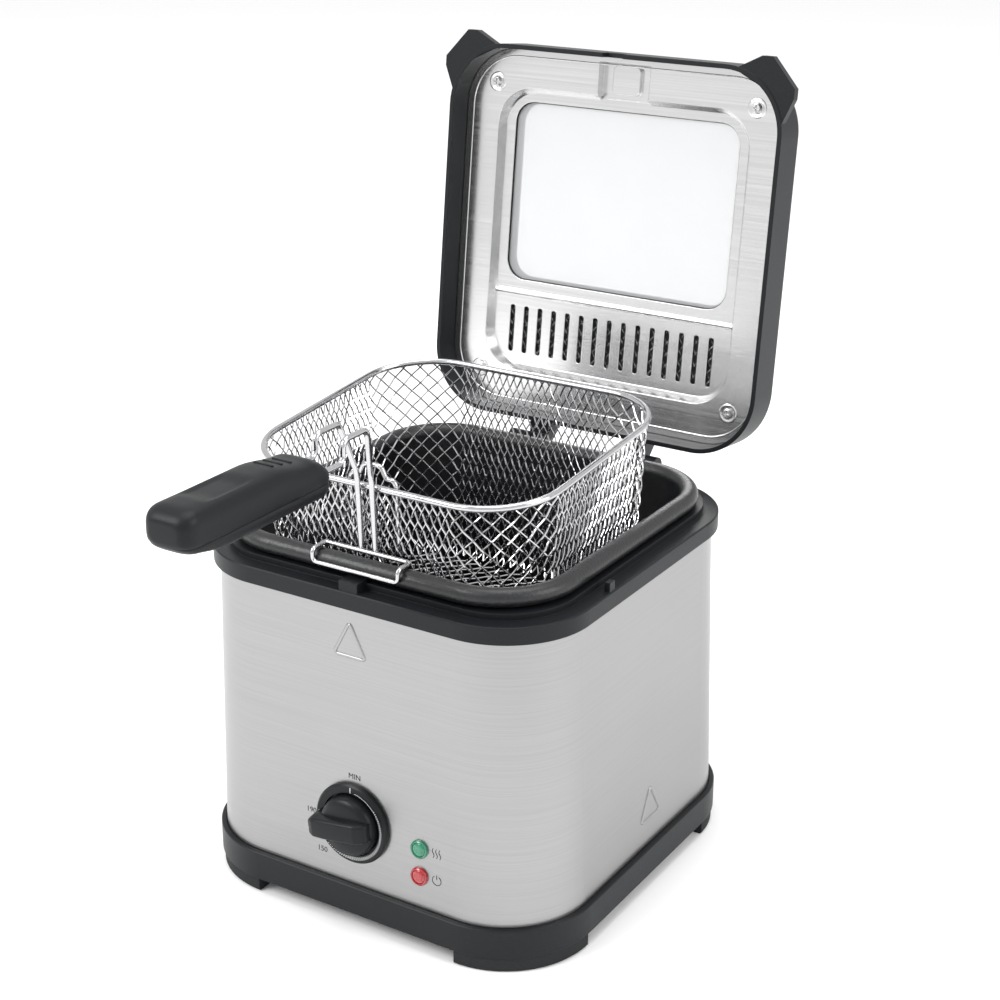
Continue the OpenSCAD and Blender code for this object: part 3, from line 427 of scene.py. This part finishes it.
for way in (1, -1):
    for j in range(-22, 23):
        line = floor_span(j * 6.4 * sqrt(2), way)
        if line:
            paths.append([Vector((x, y + BASK_MID,
                BASK_FLOOR + 0.75 + way * 0.3 * cos(pi * (x - way * y) / (6.4 * sqrt(2)) + pi * j)))
                          for x, y in line])
v, f = tube(paths, 0.45, 5)
piece("woven_cloth", v, f, "wire_chrome", "basket", True, ("basket_mesh",))

# rim wire, bracket, hook and handle wires
tilt = Matrix.Translation(Vector((0, BASK_MID, BASK_RIM))) @ Matrix.Rotation(SLOPE, 4, "X")
v, f = tube([ring_path(BASK_X, BASK_Y, BASK_R, 0)], 1.7, 16, True)
piece("rim_wire", v, f, "wire_chrome", "basket", True, ("basket_rim",), tilt)
BY = FRONT + 1.7 + 1.25 + 0.1
LEG = BASK_LEAN / (BASK_RIM - BASK_FLOOR) * 34 + 0.1
half = [(-13.5, BY + LEG, FRONT_Z - 34), (-13.5, BY, FRONT_Z + 2), (-12.0, BY, FRONT_Z + 4.3),
    (-8.6, BY, FRONT_Z + 4.3),
        (-7.2, BY, FRONT_Z + 5.5), (-5.2, BY, FRONT_Z + 9.6), (-3.4, BY, FRONT_Z + 10.4)]
m_path = bent(half + [(-x, y, z) for x, y, z in reversed(half)], 2.0)
v, f = tube([m_path], 1.25, 12)
piece("bracket_wire", v, f, "wire_chrome", "basket", True, ("basket_bracket",))
PY = FRONT - 1.7 - 1.5 - 0.8
HZ = ROLL_TOP + 1.2 + 0.4
HY = -(POT_Y + 5 + 1.2 + 0.2)
half = [(0.0, PY + 1, HZ), (-25.5, PY + 1, HZ), (-25.5, HY, HZ), (-25.5, HY, ROLL_Z)]
hook = bent(half[1:] + [(-x, y, z) for x, y, z in reversed(half)] + [half[1]], 2.8)
v, f = tube([hook], 1.2, 12)
piece("hook_wire", v, f, "wire_chrome", "handle", True, ("drain_hook",))
wires = []
for q in (-1, 1):
    g, p = q * 8.0, q * 4.2
    wires.append(bent([(g, GRIP_Y1 - 40, GRIP_Z - 1), (g, RISER_Y - 2.5, GRIP_Z - 1),
        (g, RISER_Y, GRIP_Z + 1.5),
                       (g, RISER_Y, GRIP_Z + 7.5), (g, RISER_Y + 2.4, GRIP_Z + 10),
                       (g, FRONT - 13.6, GRIP_Z + 10),
                       (g, FRONT - 11.5, GRIP_Z + 7.5), (p, PY - 0.8, FRONT_Z + 9), (p, PY, FRONT_Z + 5),
                       (p, PY + 2, HZ)], 3.0))
v, f = tube(wires, 1.5, 14)
piece("handle_wire_pair", v, f, "wire_chrome", "handle", True, ("handle_wires",))


# ---- moulded grip ----
def grip_section(t):
    """Top, bottom and half width of the grip at t from the outer end (0) to the wires (1)."""
    y = GRIP_Y0 + t * (GRIP_Y1 - GRIP_Y0)
    h = 12.5
    def line(pts):
        for (a, za), (b, zb) in zip(pts, pts[1:]):
            if y <= b:
                w = (y - a) / (b - a)
                w = w * w * (3 - 2 * w)
                return za + (zb - za) * w
        return pts[-1][1]
    top = line([(GRIP_Y0, h - 0.5), (GRIP_Y0 + 12, h), (GRIP_Y1 - 42, h), (GRIP_Y1 - 14, h - 3.6),
        (GRIP_Y1, h - 8.5)])
    low = line([(GRIP_Y0, 4.5 - h), (GRIP_Y0 + 30, -h), (GRIP_Y1 - 10, -h), (GRIP_Y1, 1.2 - h)])
    return y, top, low, 13.6


N, K = 84, 72
verts, faces = [], []
for i in range(N + 1):
    u = i / N
    t = 0.5 - 0.5 * cos(pi * u)
    y, top, low, wid = grip_section(t)
    d0, d1 = (y - GRIP_Y0), (GRIP_Y1 - y)
    e = 9.0
    k = 1.0
    for d in (d0, d1):
        if d < e:
            k = min(k, sqrt(max(0.0, 1 - ((e - d) / e) ** 2)))
    mid, hh = (top + low) / 2, (top - low) / 2
    kk = 0.45 + 0.55 * k if 0 < i < N else 0.45
    for j in range(K):
        w = 2 * pi * (j + 0.5) / K
        c, sn = cos(w), sin(w)
        n = 2 / 3.6
        x = (wid - (1 - kk) * 12) * (abs(c) ** n) * (1 if c >= 0 else -1)
        z = mid + (hh - (1 - kk) * 11) * (abs(sn) ** n) * (1 if sn >= 0 else -1)
        if z > mid + 2:
            a = min(1.0, max(0.0, (y - GRIP_Y0 - 16) / 12)) * min(1.0, max(0.0, (GRIP_Y1 - 50 - y) / 10))
            b = min(1.0, max(0.0, (9.2 - abs(x)) / 3.0))
            a, b = a * a * (3 - 2 * a), b * b * (3 - 2 * b)
            z -= 1.5 * a * b
        groove = abs(z + 4.0)
        if groove < 0.7 and abs(x) > 6:
            x -= 0.35 * (1 if x > 0 else -1)
        verts.append((x, y, GRIP_Z + z))
for i in range(N):
    for j in range(K):
        q = (j + 1) % K
        faces.append((i * K + j, i * K + q, (i + 1) * K + q, (i + 1) * K + j))
faces.append(tuple(range(K - 1, -1, -1)))
faces.append(tuple(N * K + j for j in range(K)))


def half_of(name, verts, faces, z, upper, node):
    import bmesh
    me = bpy.data.meshes.new("cut")
    me.from_pydata(verts, [], faces)
    bm = bmesh.new()
    bm.from_mesh(me)
    bmesh.ops.recalc_face_normals(bm, faces=bm.faces)
    res = bmesh.ops.bisect_plane(bm, geom=list(bm.verts) + list(bm.edges) + list(bm.faces), dist=0.0001,
                                 plane_co=(0, 0, z), plane_no=(0, 0, 1),
                                 clear_inner=upper, clear_outer=not upper)
    cut = [e for e in res["geom_cut"] if isinstance(e, bmesh.types.BMEdge)]
    bmesh.ops.holes_fill(bm, edges=cut)
    bm.verts.index_update()
    vs = [v.co.copy() for v in bm.verts]
    fs = [tuple(v.index for v in f.verts) for f in bm.faces]
    bm.free()
    return piece(name, vs, fs, "grip_plastic", "handle", True, (node,))


half_of("grip_top", verts, faces, GRIP_Z - 3.95, True, "handle_upper")
half_of("grip_bottom", verts, faces, GRIP_Z - 4.15, False, "handle_lower")
for i in range(3):
    y = GRIP_Y1 - 22 - 6.5 * i
    top = grip_section((y - GRIP_Y0) / (GRIP_Y1 - GRIP_Y0))[1]
    block(f"grip_rib_{i + 1}", 11.0, 1.3, 0.9, Matrix.Translation((0, y, GRIP_Z + top - 0.35)),
        "grip_plastic", "handle", 0.35)

# ---- dial, knob and lamps ----
P = on_front(0, KNOB_Z)
knob_turn = Matrix.Rotation(radians(98), 4, "Z")
prof = [(0, 1.5), (16.3, 1.5), (16.5, 2.1), (16.3, 4.5), (15.8, 6.8), (14.9, 8.0), (12.5, 8.9),
    (8, 9.5), (0, 9.8)]
v, f = lathe(prof, 96)
piece("knob_dome", v, f, "dial_black", "knob", True, ("control_knob",), P)
bar = P @ knob_turn
# the bar's two ends and its underside, which clears the marks on the bezel
L0, L1 = -15.3, 20.8
BAR_LOW = 3.4
prof = [(-6.6, BAR_LOW), (-6.0, 9.0), (-5.4, 13.0), (-4.4, 14.2), (4.4, 14.2), (5.4, 13.0), (6.0, 9.0),
    (6.6, BAR_LOW)]
verts, faces = [], []
rows = [(L0, 0.78, 0.62), (L0 + 2, 0.93, 0.85), (L0 + 6, 1, 1), (10, 1, 1), (L1 - 4, 0.95, 0.97),
    (L1 - 1.2, 0.8, 0.86), (L1, 0.6, 0.68)]
for y, kx, kz in rows:
    for x, z in prof:
        verts.append((x * kx, y, BAR_LOW + (z - BAR_LOW) * kz))
n = len(prof)
for i in range(len(rows) - 1):
    for j in range(n):
        q = (j + 1) % n
        faces.append((i * n + q, i * n + j, (i + 1) * n + j, (i + 1) * n + q))
faces.append(tuple(range(n)))
faces.append(tuple((len(rows) - 1) * n + j for j in reversed(range(n))))
grip = piece("knob_bar", verts, faces, "dial_black", "knob", True, (), bar)
grip.modifiers.clear()
m = grip.modifiers.new("round", "BEVEL")
m.width, m.segments, m.limit_method, m.angle_limit = 0.6 * MM, 3, "ANGLE", radians(12)
block("knob_pointer", 0.8, 5.0, 0.3, bar @ Matrix.Translation((0, 16.4, 12.75)), "mark_white", "knob", 0.1)


def dial_mark(name, angle, r0, r1, width, mat="mark_white", lift=3.06):
    w = radians(-angle)
    place = P @ Matrix.Rotation(w, 4, "Z") @ Matrix.Translation((0, (r0 + r1) / 2, lift))
    return block(name, width, r1 - r0, 0.08, place, mat, "body", 0.02, 1)


dial_mark("dial_min", 0, 17.9, 20.8, 0.45)
verts, faces = [], []


def tick(angle, r0, r1, width):
    w = radians(-angle)
    d, e = Vector((-sin(w), cos(w), 0)), Vector((cos(w), sin(w), 0))
    b = len(verts)
    for z in (3.06, 3.16):
        for rr, side in ((r0, -1), (r0, 1), (r1, 1), (r1, -1)):
            verts.append(d * rr + e * (side * width / 2) + Vector((0, 0, z)))
    for q in ((3, 2, 1, 0), (4, 5, 6, 7), (0, 1, 5, 4), (1, 2, 6, 5), (2, 3, 7, 6), (3, 0, 4, 7)):
        faces.append(tuple(b + i for i in q))


for i in range(46):
    a = 52 + i * 3.8
    tick(a, 18.1, 18.9 + 1.5 * i / 45, 0.4)
for a in (262, 267, 272, 277):
    tick(a, 18.1, 20.3, 0.4)
piece("dial_ticks", verts, faces, "mark_white", "body", False, (), P)
arc = [(18.3 * sin(radians(a)), 18.3 * cos(radians(a)), 3.1) for a in range(8, 51, 2)]
v, f = tube([arc], 0.09, 6)
piece("dial_arc", v, f, "mark_white", "body", True, (), P)
for text, x, z in (("MIN", 0.7, 86.3), ("190", -27.0, 59.4), ("170", -25.9, 48.7), ("150", -20.3, 38.7)):
    letters("dial_" + text, text, 4.3, on_front(x, z, 0.05), "mark_grey", "body")

for k, (name, z) in enumerate((("green", LAMP_Z), ("red", LAMP_Z - LAMP_PITCH))):
    S = on_front(LAMP_X, z)
    slot = "lamp_" + name
    prof = [(5.0, 0.05), (5.0, 0.9), (4.8, 1.4), (4.3, 1.7), (3.9, 1.5), (3.75, 0.9)]
    v, f = lathe(prof, 48)
    piece("lamp_collar_" + name, v, f[:-2], slot, "body", True, ("lamp_rings",) if k == 0 else (), S)
    prof = [(3.75, 0.5), (3.6, 1.3), (3.0, 1.75), (2.2, 1.95), (1.2, 2.02), (0, 2.05)]
    v, f = lathe(prof, 48)
    piece("lamp_lens_" + name + "_v", v, f, slot, "body", True, ("lamp_lens_" + name,), S)
    ridges = [[((i - 1.5) * 1.5 - 0.3, -2.2 + abs(i - 1.5) * 0.7, 1.9),
        ((i - 1.5) * 1.5 + 0.3, 2.2 - abs(i - 1.5) * 0.7, 1.9)] for i in range(4)]
    v, f = tube(ridges, 0.22, 8)
    piece("lamp_ridges_" + name, v, f, slot, "body", True, (), S)
S = on_front(50.5, 58.3, 0.05)
waves = [[(dx + 0.55 * sin(i / 12 * 2 * pi), -2.6 + 5.2 * i / 12, 0) for i in range(13)]
         for dx in (-2.0, 0, 2.0)]
v, f = tube(waves, 0.18, 6)
piece("mark_heat", v, f, "mark_grey", "body", True, (), S)
S = on_front(50.7, 43.2, 0.05)
circ = [(2.6 * sin(radians(a)), 2.6 * cos(radians(a)), 0) for a in range(28, 334, 9)]
v, f = tube([circ, [(0, 0.6, 0), (0, 3.0, 0)]], 0.18, 6)
piece("mark_power", v, f, "mark_grey", "body", True, (), S)


# ---- embossed triangles on the steel ----
def triangle(name, place, w, h):
    pts = [(0, h / 2), (-w / 2, -h / 2), (w / 2, -h / 2)]
    path = []
    for i in range(3):
        a, b, c = (Vector((*pts[(i + k) % 3], 0)) for k in (-1, 0, 1))
        u, q = (a - b).normalized() * 3.0, (c - b).normalized() * 3.0
        for j in range(9):
            t = j / 8
            path.append((b + u) * (1 - t) ** 2 + b * 2 * t * (1 - t) + (b + q) * t * t)
    verts, faces = tube([path], 0.9, 12, True)
    flat = Matrix.Diagonal((1, 1, 0.7, 1))
    return piece(name, verts, faces, "steel_body", "body", True, (), place @ flat)


triangle("emboss_front", on_front(-1.4, 161.5), 19.5, 18.5)
triangle("emboss_side", on_right(5.6, 49.2), 21.0, 18.5)

# ---- lid details, laid out closed and swung open ----
v, f = tube([ring_path(PLATE_X - 4.2, PLATE_Y - 4.2, PLATE_R - 4.2, PLATE_LOW)], 0.45, 8, True)
piece("plate_fold", v, f, "lid_steel", "lid", True, (), OPENED @ Matrix.Identity(4))
for i, (x, y) in enumerate(((1, 1), (-1, 1), (-1, -1), (1, -1))):
    spot = Matrix.Translation((x * (PLATE_X - 19.5), y * (PLATE_Y - 19.5), PLATE_LOW))
    place = OPENED @ spot @ Matrix.Rotation(pi, 4, "X")
    v, f = lathe([(5.6, -0.05), (5.3, 0.22), (4.8, 0.32), (4.3, 0.2), (3.6, 0.02), (3.1, -0.05)], 48)
    piece(f"screw_dimple_{i + 1}", v, f[:-2], "lid_steel", "lid", True, (), place)
SLOT_Y = PLATE_Y - 21.5 - 53 / 2 + 3
FX, FY = PLATE_X - 21.5 - 12, 53 / 2 - 9
zf = RECESS_Z + 1.0
v = [(-FX, SLOT_Y - FY, zf + 0.9), (FX, SLOT_Y - FY, zf + 0.9), (FX, SLOT_Y + FY, zf + 0.9),
    (-FX, SLOT_Y + FY, zf + 0.9)]
v += [(x, y, z + 2) for x, y, z in v]
f = [(3, 2, 1, 0), (4, 5, 6, 7), (0, 1, 5, 4), (1, 2, 6, 5), (2, 3, 7, 6), (3, 0, 4, 7)]
piece("filter_pad", v, f, "filter_mesh", "lid", False, ("lid_filter",), OPENED)
lines = []
for way in (1, -1):
    for j in range(-16, 17):
        c = j * 5.3
        y0, y1 = -FY, FY
        pts = []
        for k in range(25):
            y = y0 + (y1 - y0) * k / 24
            x = c + way * 0.8 * y
            if abs(x) < FX:
                pts.append((x, SLOT_Y + y, zf + 0.45 + way * 0.25 * cos(pi * y / 3.3)))
        if len(pts) > 2:
            lines.append(pts)
v, f = tube(lines, 0.28, 5)
piece("filter_weave", v, f, "wire_chrome", "lid", True, (), OPENED)

# ---- stage, camera and light ----
me = bpy.data.meshes.new("floor")
FLOOR = 30  # metres, half its side
corners = [(-FLOOR, -FLOOR, 0), (FLOOR, -FLOOR, 0), (FLOOR, FLOOR, 0), (-FLOOR, FLOOR, 0)]
me.from_pydata(corners, [], [(0, 1, 2, 3)])
fm = bpy.data.materials.new("floor")
fm.use_nodes = True
pale = fm.node_tree.nodes["Principled BSDF"]
pale.inputs["Base Color"].default_value = (0.93, 0.93, 0.93, 1)
pale.inputs["Roughness"].default_value = 0.8
me.materials.append(fm)
floor = bpy.data.objects.new("floor", me)
bpy.context.collection.objects.link(floor)

cam = bpy.data.objects.new("camera", bpy.data.cameras.new("camera"))
bpy.context.collection.objects.link(cam)
eye, aim = Vector((0.52117, -0.79940, 0.57486)), Vector((0.01823, 0, 0.20345))
cam.location = eye
cam.rotation_euler = (aim - eye).to_track_quat("-Z", "Y").to_euler()
cam.data.angle = radians(28.81)
cam.data.clip_end = 200
bpy.context.scene.camera = cam

world = bpy.data.worlds.new("world")
world.use_nodes = True
world.node_tree.nodes["Background"].inputs["Color"].default_value = (1, 1, 1, 1)
world.node_tree.nodes["Background"].inputs["Strength"].default_value = 0.95
bpy.context.scene.world = world
bpy.context.scene.view_settings.view_transform = "Standard"


def softbox(name, loc, size, watts, aim=(0, 0, 0.2)):
    li = bpy.data.lights.new(name, "AREA")
    li.shape, li.size, li.size_y, li.energy = "RECTANGLE", size[0], size[1], watts
    ob = bpy.data.objects.new(name, li)
    ob.location = loc
    ob.rotation_euler = (Vector(aim) - Vector(loc)).to_track_quat("-Z", "Y").to_euler()
    bpy.context.collection.objects.link(ob)


softbox("key", (-1.3, -1.7, 1.9), (1.4, 1.4), 50)
softbox("side", (2.1, 0.2, 1.2), (1.2, 1.4), 20)
softbox("top", (0.1, 0.2, 2.3), (1.6, 1.6), 26)
